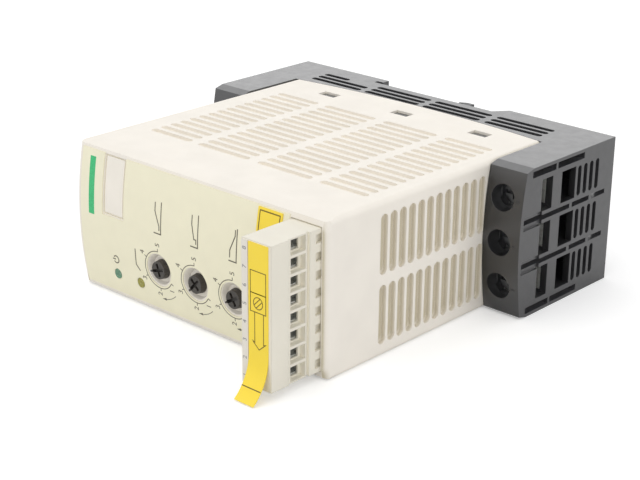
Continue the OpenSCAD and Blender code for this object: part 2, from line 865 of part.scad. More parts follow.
// Section of the yellow tape: y to the right, z up, with its lower end curling off the plug
module tape_section() {
  far = 2 * curl_r;
  translate([-plug_depth - film_t, curl_start]) square([film_t, plug_half - tape_in - curl_start]);
  translate([-plug_depth - curl_r, curl_start]) intersection() {
    difference() {
      circle(r = curl_r, $fn = 96);
      circle(r = curl_r - film_t, $fn = 96);
    }
    polygon([[0, 0], [far, 0], [far, -far * tan(curl_turn / 2)], far * [cos(curl_turn), -sin(curl_turn)]]);
  }
}

module plug_tape() color("#f7d841") place() along_x([tape_lo, tape_hi]) tape_section();

// Busbar with its tapped collar, from the terminal to the power board
module busbars() {
  half_b = bar_w / 2;
  pole_places() difference() {
    union() {
      block([leg_x, chamber_x[1] - gap], [bar_low, bar_top], [-half_b, half_b]);
      block([leg_x, leg_x + bar_t], [bar_low, power_d], [-half_b, half_b]);
      rod(screw_x, [shank_low, bar_low], 0, shank_d + 2.4);
    }
    rod(screw_x, [shank_low - over, bar_top + over], 0, shank_d + 2 * touch);
  }
}

module line_busbars() color("#bdbab2") place() mirror([1, 0, 0]) busbars();

module load_busbars() color("#bdbab2") place() busbars();

module clamp_plates() {
  half_c = chamber_w / 2 - gap;
  pole_places() difference() {
    union() {
      block([chamber_x[0] + gap, chamber_x[1] - gap], [wire_top, plate_top], [-half_c, half_c]);
      block([chamber_x[1] - gap - 1, chamber_x[1] - gap], [wire_top - 0.4, plate_top], [-half_c, half_c]);
    }
    rod(screw_x, [wire_top - 2, plate_top + over], 0, shank_d + 0.4);
  }
}

module line_clamps() color("#c9ccd0") place() mirror([1, 0, 0]) clamp_plates();

module load_clamps() color("#c9ccd0") place() clamp_plates();

module terminal_screws() {
  pole_places() difference() {
    union() {
      rod(screw_x, [plate_top, head_top], 0, head_d);
      rod(screw_x, [shank_low, plate_top], 0, shank_d);
    }
    block([screw_x - head_d, screw_x + head_d], [head_top - 1.4, head_top + over], [-0.6, 0.6]);
    block([screw_x - 0.6, screw_x + 0.6], [head_top - 1.8, head_top + over], [-2, 2]);
  }
}

module line_screws() color("#b8bcc0") place() mirror([1, 0, 0]) terminal_screws();

module load_screws() color("#b8bcc0") place() terminal_screws();

module heat_sink() {
  fin_pitch = (2 * board_w - fin_t) / (fins - 1);
  color("#aeb3b8") place() {
    block([-sink_half, sink_half], [sink_front - sink_plate, sink_front], [-board_w, board_w]);
    for (k = [0 : fins - 1]) translate([0, 0, k * fin_pitch - board_w])
      block([-sink_half, sink_half], [slab, sink_front - sink_plate + touch], [0, fin_t]);
  }
}

module thyristor_modules() {
  color("#26282b") place() both_ends() {
    block(module_x, [sink_front, module_top], [-module_half, module_half]);
    for (x = lead_x) both_sides() rod(x, [module_top - touch, power_d], lead_z, lead_d);
  }
}

module bypass_relay() color("#2b5fa8") place() block(relay_x, [power_top, power_top + relay_h], relay_z);

module supply_transformer() {
  color("#7a6a4c") place() {
    block(core_x, [power_top, power_top + core_h], core_z);
    block(coil_x, [power_top, power_top + coil_h], coil_z);
  }
}

module capacitors() color("#2d2f38") place()
  for (x = cap_x) rod(x, [power_top, power_top + cap_h], cap_z, cap_d);

// Profile of the clip's nose, which hooks over the rail's edge
module clip_nose() {
  root = rail_hi + gap;
  tip = root - hook_grip;
  polygon([[root + nose_t, gap - rail_seat], [root, gap - rail_seat], [root, gap - lip], [tip, gap - lip],
    [tip, nose_tip - lip], [root + gap, -nose_rear], [root + nose_t, -nose_rear]]);
}

module rail_clip() {
  stem_x = rail_hi + gap + nose_t - touch;
  d = [stem_rear, rail_seat - gap];
  color("#3a3b3d") place() {
    along_z([0.5 - half_w, half_w - 0.5]) clip_nose();
    block([stem_x, stem_end], d, [-stem_half, stem_half]);
    block([stem_end - ear_len, stem_end], d, [-stem_half - ear, stem_half + ear]);
  }
}

// Zigzag leaf spring between the clip's stem and the end of its tunnel
module rail_clip_spring() {
  half_t = spring_t / 2;
  reach = stem_half - spring_inset;
  first = stem_end + half_t + touch;
  step = (tunnel_end - stem_end - spring_t - 2 * touch) / spring_legs;
  inner = reach - spring_t * reach / step;
  tops = [for (k = [0 : spring_legs]) each k == 0 ? [[first - half_t, -reach]]
    : k % 2 == 0 ? [[first + k * step, -inner]]
    : [[first + k * step - half_t, reach], [first + k * step + half_t, reach]]];
  lows = [for (k = [spring_legs - 1 : -1 : 0]) each k == 0 ? [[first + half_t, -reach]]
    : k % 2 == 1 ? [[first + k * step, inner]]
    : [[first + k * step + half_t, -reach], [first + k * step - half_t, -reach]]];
  color("#9aa0a6") place() translate([0, -stem_rear - gap, 0]) rotate([90, 0, 0])
    linear_extrude(rail_seat - stem_rear - 3 * gap) polygon(concat(tops, lows));
}

rear_base();
front_cover();
front_film();
marker_tag();
yellow_sticker();
start_ramp_knob();
start_voltage_knob();
stop_ramp_knob();
start_ramp_trimmer();
start_voltage_trimmer();
stop_ramp_trimmer();
power_lens();
run_lens();
power_led();
run_led();
control_board();
power_board();
riser_board();
board_screws();
control_header();
header_pins();
plug_housing();
plug_clamps();
plug_screws();
plug_marker_strip();
plug_tape();
line_busbars();
load_busbars();
line_clamps();
load_clamps();
line_screws();
load_screws();
heat_sink();
thyristor_modules();
bypass_relay();
supply_transformer();
capacitors();
rail_clip();
rail_clip_spring();
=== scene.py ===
"""Looks of a rail-mounted motor soft starter: materials, printed marks, light and camera.

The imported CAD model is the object. This script dresses it: every node gets a procedural material,
and the printed and moulded marks are thin pieces laid onto the fronts of the CAD nodes.
Marks are drawn in millimetres in the row frame, with x to the right and z up, as seen from the front.
"""

import json
import math

import bmesh
import bpy
from mathutils import Matrix, Vector
from mathutils.bvhtree import BVHTree


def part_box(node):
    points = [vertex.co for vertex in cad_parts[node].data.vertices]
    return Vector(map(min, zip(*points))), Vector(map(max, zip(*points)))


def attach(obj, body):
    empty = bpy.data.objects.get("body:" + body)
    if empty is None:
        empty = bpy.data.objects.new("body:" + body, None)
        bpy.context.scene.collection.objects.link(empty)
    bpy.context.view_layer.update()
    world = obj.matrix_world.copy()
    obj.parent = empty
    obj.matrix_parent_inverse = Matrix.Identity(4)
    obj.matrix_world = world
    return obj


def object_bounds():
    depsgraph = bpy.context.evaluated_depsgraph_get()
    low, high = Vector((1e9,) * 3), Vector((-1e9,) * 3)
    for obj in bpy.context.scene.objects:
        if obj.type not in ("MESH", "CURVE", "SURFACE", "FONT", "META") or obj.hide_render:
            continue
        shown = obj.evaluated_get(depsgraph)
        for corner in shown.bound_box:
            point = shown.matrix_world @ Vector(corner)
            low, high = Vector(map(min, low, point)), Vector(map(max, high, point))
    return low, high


MM = 0.001
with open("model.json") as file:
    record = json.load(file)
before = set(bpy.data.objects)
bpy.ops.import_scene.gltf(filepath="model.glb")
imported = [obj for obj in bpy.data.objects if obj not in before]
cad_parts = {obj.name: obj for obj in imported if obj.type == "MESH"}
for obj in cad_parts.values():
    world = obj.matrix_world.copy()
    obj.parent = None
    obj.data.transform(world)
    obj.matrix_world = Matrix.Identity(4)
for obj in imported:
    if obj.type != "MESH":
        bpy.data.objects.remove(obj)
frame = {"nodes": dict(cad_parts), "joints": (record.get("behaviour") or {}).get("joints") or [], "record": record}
cad_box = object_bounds()
nodes = frame["nodes"]
slot_of = {part["node"]: part["material_slot"] for part in frame["record"]["subparts"]}


# Colours

def linear(red, green, blue):
    """Scene-linear colour of an sRGB colour in steps of 255."""
    def channel(value):
        value /= 255
        return value / 12.92 if value <= 0.04045 else ((value + 0.055) / 1.055) ** 2.4
    return channel(red), channel(green), channel(blue), 1.0


def shade(colour, factor):
    """The colour made darker or lighter."""
    return tuple(min(1.0, c * factor) for c in colour[:3]) + (1.0,)


CREAM = linear(244, 238, 228)
PLUG = linear(234, 229, 215)
# Painted shade on the floors of the end slots, and painted light in narrow gaps and hollows
PAINTED_SLOT_SHADE = linear(206, 197, 173)
PAINTED_HOLLOW_LIGHT = linear(255, 250, 235)
GREY = linear(49, 49, 51)
CLIP = linear(58, 59, 61)
FILM = linear(245, 240, 213)
YELLOW = linear(255, 224, 58)
TAG = linear(246, 240, 229)
STRIP = linear(234, 229, 219)
KNOB = linear(62, 58, 54)
LENS_GREEN = linear(100, 156, 122)
LENS_YELLOW = linear(172, 166, 62)
STRIPE_GREEN = linear(62, 190, 122)
INK = linear(100, 95, 82)
TAPE_INK = linear(96, 78, 24)
STRIP_INK = linear(138, 138, 140)


# Materials

class Look:
    """A node material being built around one Principled shader. Lengths are in millimetres."""

    bevel_samples = 6
    hollow_samples = 8

    def __init__(self, name, sockets):
        self.material = bpy.data.materials.new(name)
        self.material.use_nodes = True
        self.tree = self.material.node_tree
        self.shader = self.tree.nodes["Principled BSDF"]
        self.place = self.add("ShaderNodeTexCoord").outputs["Object"]
        for socket, value in sockets.items():
            self.shader.inputs[socket].default_value = value

    def add(self, kind, **settings):
        node = self.tree.nodes.new(kind)
        for key, value in settings.items():
            setattr(node, key, value)
        return node

    def link(self, source, target):
        self.tree.links.new(source, target)

    def noise(self, size, detail=2.0, stretch=None):
        """Noise with spots about that wide."""
        node = self.add("ShaderNodeTexNoise")
        node.inputs["Scale"].default_value = 1 / (size * MM)
        node.inputs["Detail"].default_value = detail
        source = self.place
        if stretch:
            mapping = self.add("ShaderNodeMapping")
            mapping.inputs["Scale"].default_value = stretch
            self.link(source, mapping.inputs["Vector"])
            source = mapping.outputs["Vector"]
        self.link(source, node.inputs["Vector"])
        return node.outputs["Fac"]

    def bands(self, size, axis):
        """Fine bands across one axis, that far apart."""
        node = self.add("ShaderNodeTexWave", wave_type="BANDS", bands_direction=axis)
        bands_at_scale_one = 20 / (2 * math.pi)
        node.inputs["Scale"].default_value = 1 / (bands_at_scale_one * size * MM)
        node.inputs["Distortion"].default_value = 0.4
        self.link(self.place, node.inputs["Vector"])
        return node.outputs["Fac"]

    def cells(self, size):
        """Distance from the borders of cells about that wide."""
        node = self.add("ShaderNodeTexVoronoi", feature="DISTANCE_TO_EDGE")
        node.inputs["Scale"].default_value = 1 / (size * MM)
        self.link(self.place, node.inputs["Vector"])
        return node.outputs["Distance"]

    def ramp(self, factor, first, second, start=0.3, end=0.7):
        """Colour that runs from first to second."""
        node = self.add("ShaderNodeValToRGB")
        for stop, (position, colour) in zip(node.color_ramp.elements, ((start, first), (end, second))):
            stop.position = position
            stop.color = colour
        self.link(factor, node.inputs["Fac"])
        return node.outputs["Color"]

    def between(self, factor, low, high, start=0.3, end=0.7):
        """A number that runs from low to high."""
        node = self.add("ShaderNodeMapRange")
        for socket, value in (("From Min", start), ("From Max", end), ("To Min", low), ("To Max", high)):
            node.inputs[socket].default_value = value
        self.link(factor, node.inputs["Value"])
        return node.outputs["Result"]

    def mixed(self, factor, first, second):
        """Colour socket first, turning into the colour second where the factor is 1."""
        node = self.add("ShaderNodeMix", data_type="RGBA")
        self.link(factor, node.inputs["Factor"])
        colour_a, colour_b = [s for s in node.inputs if s.type == "RGBA"]
        self.link(first, colour_a)
        colour_b.default_value = second
        return next(s for s in node.outputs if s.type == "RGBA")

    def rounded(self, radius):
        """Normal with the edges rounded by that radius."""
        node = self.add("ShaderNodeBevel", samples=self.bevel_samples)
        node.inputs["Radius"].default_value = radius * MM
        return node.outputs["Normal"]

    def edges(self, normal):
        """1 along the rounded edges, 0 on the flat."""
        dot = self.add("ShaderNodeVectorMath", operation="DOT_PRODUCT")
        self.link(normal, dot.inputs[0])
        self.link(self.add("ShaderNodeNewGeometry").outputs["Normal"], dot.inputs[1])
        flat, bent = 0.995, 0.86
        return self.between(dot.outputs["Value"], 0, 1, flat, bent)

    def times(self, first, second):
        """The product of two numbers."""
        node = self.add("ShaderNodeMath", operation="MULTIPLY")
        self.link(first, node.inputs[0])
        self.link(second, node.inputs[1])
        return node.outputs["Value"]

    def below_ends(self, low, high, start, full, stop):
        """0 to 1 between two depths below a node's ends in x, and 0 from a third depth on."""
        parts = self.add("ShaderNodeSeparateXYZ")
        self.link(self.place, parts.inputs["Vector"])
        off = self.add("ShaderNodeMath", operation="SUBTRACT")
        self.link(parts.outputs["X"], off.inputs[0])
        off.inputs[1].default_value = (low + high) / 2
        away = self.add("ShaderNodeMath", operation="ABSOLUTE")
        self.link(off.outputs["Value"], away.inputs[0])
        end = (high - low) / 2
        fade = 0.2 * MM
        deep = self.between(away.outputs["Value"], 1, 0, end - full * MM, end - start * MM)
        near = self.between(away.outputs["Value"], 0, 1, end - stop * MM - fade, end - stop * MM)
        return self.times(deep, near)

    def hollows(self, reach, closed, opened, ends=None):
        """1 where less than the share closed of the view out to that reach is free, 0 from opened on.

        With ends, only below the two ends in x.
        """
        node = self.add("ShaderNodeAmbientOcclusion", samples=self.hollow_samples)
        node.inputs["Distance"].default_value = reach * MM
        depth = self.between(node.outputs["AO"], 1, 0, closed, opened)
        return self.times(depth, self.below_ends(*ends)) if ends else depth

    def relief(self, height, depth, strength, normal=None):
        """Bump of that depth into the shader."""
        node = self.add("ShaderNodeBump")
        node.inputs["Distance"].default_value = depth * MM
        node.inputs["Strength"].default_value = strength
        self.link(height, node.inputs["Height"])
        if normal:
            self.link(normal, node.inputs["Normal"])
        self.link(node.outputs["Normal"], self.shader.inputs["Normal"])

    def colour(self, source):
        self.link(source, self.shader.inputs["Base Color"])

    def roughness(self, source):
        self.link(source, self.shader.inputs["Roughness"])


def moulded(name, colour, rough, grain=0.35, depth=0.012, soft=0.3, wear=1.06, hollows=(), sockets=()):
    """Moulded plastic: faint flow marks, satin grain, paler rounded edges, and painted light and shade in hollows.

    Each hollow is the tone painted there, followed by what Look.hollows takes.
    """
    look = Look(name, dict(sockets))
    normal = look.rounded(soft)
    flow = look.ramp(look.noise(11, detail=4), shade(colour, 0.97), shade(colour, 1.02))
    surface = look.mixed(look.edges(normal), flow, shade(colour, wear))
    for painted_tone, *place in hollows:
        surface = look.mixed(look.hollows(*place), surface, painted_tone)
    look.colour(surface)
    look.roughness(look.between(look.noise(3, detail=3), rough - 0.05, rough + 0.06))
    look.relief(look.noise(grain, detail=3), depth, 0.5, normal)
    return look.material


def film(name, colour, rough, sheen=0.0, soft=0.1):
    """Printed plastic film: even colour, fine print grain and slight waves."""
    look = Look(name, {"Coat Weight": sheen, "Coat Roughness": 0.25})
    look.colour(look.ramp(look.noise(6, detail=5), shade(colour, 0.975), shade(colour, 1.01)))
    look.roughness(look.between(look.noise(1.5), rough - 0.05, rough + 0.07))
    look.relief(look.noise(0.2), 0.006, 0.4, look.rounded(soft))
    return look.material


def ink(name, colour):
    """Screen-printed ink with slightly uneven cover."""
    look = Look(name, {})
    cover = look.noise(0.35, detail=3)
    look.colour(look.ramp(cover, shade(colour, 0.85), shade(colour, 1.15), start=0.32, end=0.68))
    look.roughness(look.between(look.noise(0.5), 0.45, 0.65))
    look.relief(look.noise(0.15), 0.004, 0.4)
    return look.material


def metal(name, colour, rough, grain=0.25, stretch=(0.1, 1.0, 1.0), soft=0.12, metallic=1.0):
    """Plated or drawn metal with fine tool marks along one direction."""
    look = Look(name, {"Metallic": metallic})
    marks = look.noise(grain, detail=4, stretch=stretch)
    look.colour(look.ramp(marks, shade(colour, 0.82), shade(colour, 1.08)))
    look.roughness(look.between(look.noise(1.2, detail=3), rough - 0.08, rough + 0.1))
    look.relief(marks, 0.006, 0.35, look.rounded(soft))
    return look.material


def lens(name, colour):
    """Clear tinted lens over a light pipe."""
    look = Look(name, {"Transmission Weight": 0.25, "IOR": 1.46,
                       "Coat Weight": 0.6, "Coat Roughness": 0.08})
    look.colour(look.ramp(look.noise(1.1), shade(colour, 0.85), shade(colour, 1.12)))
    look.roughness(look.between(look.noise(0.8), 0.18, 0.3))
    look.relief(look.noise(0.6), 0.008, 0.3, look.rounded(0.3))
    return look.material


def circuit(name, colour):
    """Circuit board with copper tracks under solder resist."""
    look = Look(name, {"Coat Weight": 0.3, "Coat Roughness": 0.2})
    tracks = look.cells(3.2)
    look.colour(look.ramp(tracks, shade(colour, 1.7), colour, start=0.03, end=0.06))
    look.roughness(look.between(look.noise(2), 0.3, 0.42))
    look.relief(tracks, 0.03, 0.5)
    return look.material


def laminated(name, colour):
    """Stack of transformer sheets."""
    look = Look(name, {"Metallic": 0.3})
    sheets = look.bands(0.5, "Y")
    look.colour(look.ramp(sheets, shade(colour, 0.7), shade(colour, 1.15), start=0.2, end=0.8))
    look.roughness(look.between(look.noise(2), 0.45, 0.6))
    look.relief(sheets, 0.05, 0.6)
    return look.material


# Depths below the cover's ends where its slots start to turn to the painted shade on their floors, have it, and
# end
SLOT_DEPTHS = (0.1, 1.3, 1.8)
cover_low, cover_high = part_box("front_cover")
COVER_ENDS = cover_low.x, cover_high.x, *SLOT_DEPTHS

LOOKS = {
    # Painted light in narrow gaps, painted shade on the floors of the end slots, and the plain cream again where
    # the end slots are most closed in
    "cream_plastic": moulded("cream_plastic", CREAM, 0.5, soft=0.15, wear=1.02,
                             hollows=((PAINTED_HOLLOW_LIGHT, 1.3, 0.1, 0.7),
                                      (PAINTED_SLOT_SHADE, 4, 0.8, 0.95, COVER_ENDS),
                                      (CREAM, 2, 0.35, 0.65, COVER_ENDS))),
    # Painted shade where the housing is closed in within 14 mm, and painted light deep inside holes and windows
    # closed in within 6 mm
    "grey_plastic": moulded("grey_plastic", GREY, 0.42, grain=0.3, depth=0.015, soft=0.3, wear=1.3,
                            hollows=((shade(GREY, 0.3), 14, 0.1, 0.88),
                                     (shade(GREY, 4), 6, 0.1, 0.5)),
                            sockets={"Specular IOR Level": 0.6,
                                     "Coat Weight": 0.8, "Coat Roughness": 0.25}),
    # Painted light in the plug's hollows
    "plug_plastic": moulded("plug_plastic", PLUG, 0.5, soft=0.35, wear=1.03,
                            hollows=((PAINTED_HOLLOW_LIGHT, 3, 0.1, 0.95),)),
    "clip_plastic": moulded("clip_plastic", CLIP, 0.4, wear=1.2),
    "front_film": film("front_film", FILM, 0.42),
    "yellow_film": film("yellow_film", YELLOW, 0.38, sheen=0.15),
    # Painted light in the gap around the tag
    "tag_plastic": moulded("tag_plastic", TAG, 0.45, soft=0.2, wear=1.02,
                           hollows=((PAINTED_HOLLOW_LIGHT, 1, 0.1, 0.95),)),
    "white_strip": film("white_strip", STRIP, 0.5),
    "knob_black": moulded("knob_black", KNOB, 0.4, grain=0.2, soft=0.2, wear=1.25),
    "lens_green": lens("lens_green", LENS_GREEN),
    "lens_yellow": lens("lens_yellow", LENS_YELLOW),
    "led_white": moulded("led_white", linear(242, 240, 230), 0.35, grain=0.2),
    "board_green": circuit("board_green", linear(38, 96, 60)),
    "header_green": moulded("header_green", linear(60, 112, 74), 0.45),
    "trimmer_blue": moulded("trimmer_blue", linear(60, 95, 140), 0.4),
    "relay_blue": moulded("relay_blue", linear(44, 94, 166), 0.35),
    "module_black": moulded("module_black", linear(38, 40, 43), 0.45, grain=0.25, wear=1.2),
    "capacitor_sleeve": moulded("capacitor_sleeve", linear(45, 47, 56), 0.25, grain=1.5),
    "transformer_core": laminated("transformer_core", linear(122, 106, 76)),
    "steel": metal("steel", linear(150, 151, 152), 0.36),
    "clamp_steel": metal("clamp_steel", linear(226, 228, 226), 0.32, metallic=0.7),
    "tinned_copper": metal("tinned_copper", linear(222, 222, 216), 0.36, metallic=0.7),
    "pin_gold": metal("pin_gold", linear(218, 192, 116), 0.28),
    "aluminium": metal("aluminium", linear(178, 182, 186), 0.4, stretch=(0.03, 1.0, 1.0)),
}
INKS = {
    "dial": ink("dial_ink", INK),
    "stripe": ink("stripe_ink", STRIPE_GREEN),
    "tape": ink("tape_ink", TAPE_INK),
    "strip": ink("strip_ink", STRIP_INK),
}
# Nodes whose look differs from that of their material slot
OWN_LOOKS = {"plug_housing": "plug_plastic"}

for name, node in nodes.items():
    node.data.materials.clear()
    node.data.materials.append(LOOKS[OWN_LOOKS.get(name, slot_of[name])])


# Marks

def turned(along, at, points):
    """Points drawn along a line of text, put at a place with the line running up the front."""
    return [(at[0] - v, at[1] + along + u) for u, v in points]


def around(centre, radius, angle):
    """Point at an angle in degrees from the right, turning left."""
    turn = math.radians(angle)
    return centre[0] + radius * math.cos(turn), centre[1] + radius * math.sin(turn)


def arc(centre, radius, start, end, step=6):
    """Points of an arc between two angles."""
    count = max(2, round(abs(end - start) / step))
    return [around(centre, radius, start + (end - start) * k / count) for k in range(count + 1)]


class Marks:
    """Flat marks in x and z, gathered in millimetres and then laid onto a CAD node's front."""

    # Longest step along a stroke, and a limit to how far a stroke's sharp corners reach out
    longest = 1.2
    sharpest = 0.5

    def __init__(self):
        self.points = []
        self.faces = []

    def stroke(self, path, width, closed=False):
        """A line of even width along a path, in steps short enough to follow a bowed front."""
        ring = path + path[:1] if closed else path
        fine = []
        for (xa, za), (xb, zb) in zip(ring, ring[1:]):
            parts = max(1, math.ceil(math.hypot(xb - xa, zb - za) / self.longest))
            fine += [Vector((xa + (xb - xa) * k / parts, za + (zb - za) * k / parts))
                     for k in range(parts)]
        if not closed:
            fine.append(Vector(ring[-1]))
        count = len(fine)
        base = len(self.points)
        for k, here in enumerate(fine):
            before = fine[k - 1] if k or closed else here
            after = fine[(k + 1) % count] if k + 1 < count or closed else here
            into = (here - before).normalized() if before != here else (after - here).normalized()
            out = (after - here).normalized() if after != here else into
            side = Vector((-into.y - out.y, into.x + out.x)).normalized()
            reach = width / 2 / max(self.sharpest, side.dot(Vector((-out.y, out.x))))
            self.points += [tuple(here + side * reach), tuple(here - side * reach)]
        for k in range(count if closed else count - 1):
            a, b = base + 2 * k, base + 2 * ((k + 1) % count)
            self.faces.append((a, a + 1, b + 1, b))

    def shape(self, points):
        """A small filled outline."""
        base = len(self.points)
        self.points += points
        self.faces.append(tuple(range(base, base + len(points))))

    def text(self, words, size, at):
        """Plain numbers whose line runs up the front, centred on a place."""
        curve = bpy.data.curves.new("glyphs", "FONT")
        curve.body = words
        curve.size = size
        curve.align_x = curve.align_y = "CENTER"
        holder = bpy.data.objects.new("glyphs", curve)
        bpy.context.scene.collection.objects.link(holder)
        graph = bpy.context.evaluated_depsgraph_get()
        mesh = bpy.data.meshes.new_from_object(holder.evaluated_get(graph))
        base = len(self.points)
        self.points += turned(0, at, [(v.co.x, v.co.y) for v in mesh.vertices])
        self.faces += [tuple(base + k for k in face.vertices) for face in mesh.polygons]
        bpy.data.objects.remove(holder)
        bpy.data.curves.remove(curve)
        bpy.data.meshes.remove(mesh)

    def lay(self, name, carrier, material, body="housing", thick=0.02, lift=0.01):
        """The marks as one thin piece on the front of a CAD node."""
        mesh = nodes[carrier].data
        tree = BVHTree.FromPolygons([v.co for v in mesh.vertices], [p.vertices[:] for p in mesh.polygons])
        ahead = 10 * MM
        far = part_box(carrier)[0].y - ahead
        built = bmesh.new()
        verts = []
        for x, z in self.points:
            place = tree.ray_cast(Vector((x * MM, far, z * MM)), Vector((0, 1, 0)))[0]
            if place is None:
                raise ValueError(f"{name}: nothing of {carrier} lies behind x {x:.2f}, z {z:.2f}")
            verts.append(built.verts.new(place - Vector((0, lift * MM, 0))))
        for face in self.faces:
            built.faces.new([verts[k] for k in face])
        built.normal_update()
        bmesh.ops.reverse_faces(built, faces=[f for f in built.faces if f.normal.y > 0])
        piece = bpy.data.objects.new(name, bpy.data.meshes.new(name))
        built.to_mesh(piece.data)
        built.free()
        bpy.context.scene.collection.objects.link(piece)
        solid = piece.modifiers.new("thickness", "SOLIDIFY")
        solid.thickness = thick * MM
        solid.offset = 1
        piece.data.materials.append(material)
        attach(piece, body)


def box_mm(node):
    """Lowest and highest corners of a node in millimetres."""
    low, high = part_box(node)
    return low / MM, high / MM


def middle(node):
    """Middle of a node's box in x and z, in millimetres."""
    low, high = box_mm(node)
    return (low.x + high.x) / 2, (low.z + high.z) / 2


# Dials: a scale with plain numbers, an arrow and a ramp sign above it

SCALE_R = 5.65
SCALE_LINE = 0.24
SCALE_ANGLES = (330, 270, 210, 150, 90)
TICK = 0.9
NUMBER_PLACES = ((313, 7.2), (267, 7.5), (213, 7.6), (149, 7.7), (90, 7.7))
NUMBER_SIZE = 2.5
ARROW_R = 8.9
ARROW_LINE = 0.168
ARROW_ANGLES = (280, 314)
ARROW_TIP = 271
ARROW_BACK = 282
ARROW_HALF = 0.4
SIGN_AXES = ((0, 2.9), (0, 0), (9.4, 0))
RAMP_UP = ((0.9, 0.7), (2.2, 0.7), (6.4, 2.5), (9, 2.5))
STEP_UP = ((0.9, 0.7), (2.2, 0.7), (2.2, 1.5), (6.4, 2.5), (9, 2.5))
RAMP_DOWN = ((0.9, 2.5), (3, 2.5), (7.2, 0.7), (9, 0.7))
SIGN_UP = 11.2
SIGN_SHIFT = 1.5
SIGN_LINE = 0.34


def dial(knob, sign):
    """Scale, numbers, arrow and ramp sign around one knob."""
    joint = next(j for j in frame["joints"] if j["child"] == knob)
    centre = joint["pos_m"][0] / MM, joint["pos_m"][2] / MM
    marks = Marks()
    marks.stroke(arc(centre, SCALE_R, SCALE_ANGLES[-1], SCALE_ANGLES[0]), SCALE_LINE)
    for angle in SCALE_ANGLES:
        marks.stroke([around(centre, SCALE_R, angle), around(centre, SCALE_R + TICK, angle)], SCALE_LINE)
    for number, (angle, radius) in enumerate(NUMBER_PLACES, start=1):
        marks.text(str(number), NUMBER_SIZE, around(centre, radius, angle))
    marks.stroke(arc(centre, ARROW_R, *ARROW_ANGLES), ARROW_LINE)
    back = [around(centre, ARROW_R + side, ARROW_BACK) for side in (-ARROW_HALF, ARROW_HALF)]
    marks.shape([around(centre, ARROW_R, ARROW_TIP)] + back)
    for line in (SIGN_AXES, sign):
        marks.stroke(turned(SIGN_UP, (centre[0] + SIGN_SHIFT, centre[1]), line), SIGN_LINE)
    marks.lay(f"{knob}_scale", "front_film", INKS["dial"])


dial("start_ramp_knob", RAMP_UP)
dial("start_voltage_knob", STEP_UP)
dial("stop_ramp_knob", RAMP_DOWN)


# Signs of the two indicators, and the green stripe

POWER_SIGN_UP = 4.6
POWER_SIGN_R = 1.1
POWER_SIGN_ANGLES = (215, 505)
POWER_SIGN_BAR = (-1.5, -0.2)
RUN_SIGN = ((0, 0), (1.6, 1.6), (6.5, 1.6))
RUN_SIGN_UP = 4.0
RUN_SIGN_SHIFT = 0.5
STRIPE_IN = 4.85
STRIPE_W = 2.4
STRIPE_HEIGHTS = (1.8, 19.0)


def indicator_signs():
    """A power sign beside one lens and a rising line that levels off beside the other."""
    marks = Marks()
    x, z = middle("power_lens")
    z += POWER_SIGN_UP
    marks.stroke(arc((x, z), POWER_SIGN_R, *POWER_SIGN_ANGLES), SIGN_LINE)
    marks.stroke([(x + end, z) for end in POWER_SIGN_BAR], SIGN_LINE)
    x, z = middle("run_lens")
    marks.stroke(turned(RUN_SIGN_UP, (x + RUN_SIGN_SHIFT, z), RUN_SIGN), SIGN_LINE)
    marks.lay("indicator_signs", "front_film", INKS["dial"])


def green_stripe():
    """Plain stripe near the film's far end."""
    x = box_mm("front_film")[0].x + STRIPE_IN
    marks = Marks()
    marks.stroke([(x, z) for z in STRIPE_HEIGHTS], STRIPE_W)
    marks.lay("green_stripe", "front_film", INKS["stripe"])


indicator_signs()
green_stripe()


# Yellow sticker and tape, with the tape's marks measured from its upper left corner

STICKER_INSET = 0.8
STICKER_LINE = 0.3
TAPE_LINE = 0.22
TAPE_BOX_SIDES = (0.7, 6.1)
TAPE_BOX_HEIGHTS = ((7.4, 13.4), (13.4, 18.5))
TAPE_SCREW = (3.4, 15.95)
TAPE_SCREW_R = 1.6
TAPE_SCREW_STEP = 12
TAPE_SCREW_SLOT = (1.0, 0.35)
TAPE_ARROW = ((2.2, 18.5), (2.2, 26.9), (1.3, 26.5), (3.7, 28.6), (6.2, 26.5), (5.3, 26.9), (5.3, 18.5))
TAPE_FOLD = 38.6
TAPE_FOLD_IN = 0.02


def sticker_frame():
    """Plain frame on the sticker."""
    low, high = box_mm("yellow_sticker")
    left, right = low.x + STICKER_INSET, high.x - STICKER_INSET
    bottom, top = low.z + STICKER_INSET, high.z - STICKER_INSET
    marks = Marks()
    marks.stroke([(left, bottom), (right, bottom), (right, top), (left, top)], STICKER_LINE, closed=True)
    marks.lay("sticker_frame", "yellow_sticker", INKS["tape"])


def tape_signs():
    """Two boxes with a screw head, an arrow that leads away from them, and the line of the fold."""
    low, high = box_mm("plug_tape")

    def at(points):
        return [(low.x + x, high.z - down) for x, down in points]

    marks = Marks()
    left, right = TAPE_BOX_SIDES
    for top, bottom in TAPE_BOX_HEIGHTS:
        box = at([(left, top), (right, top), (right, bottom), (left, bottom)])
        marks.stroke(box, TAPE_LINE, closed=True)
    screw = x, z = at([TAPE_SCREW])[0]
    ring = arc(screw, TAPE_SCREW_R, 0, 360 - TAPE_SCREW_STEP, TAPE_SCREW_STEP)
    marks.stroke(ring, TAPE_LINE, closed=True)
    reach, half = TAPE_SCREW_SLOT
    for side in (-half, half):
        marks.stroke([(x + end + side, z + end - side) for end in (-reach, reach)], TAPE_LINE)
    marks.stroke(at(TAPE_ARROW), TAPE_LINE)
    marks.stroke(at([(TAPE_FOLD_IN, TAPE_FOLD), (high.x - low.x - TAPE_FOLD_IN, TAPE_FOLD)]), TAPE_LINE)
    marks.lay("tape_signs", "plug_tape", INKS["tape"], body="control_plug")


sticker_frame()
tape_signs()


# Plain numbers of the terminals

WAYS = 8
WAY_NUMBER_SIZE = 1.9
POLES = 3
POLE_PITCH = 13.3
POLE_NUMBER_SIZE = 1.7
POLE_NUMBER_OUT = 5.1
POLE_NUMBER_THICK = 0.12


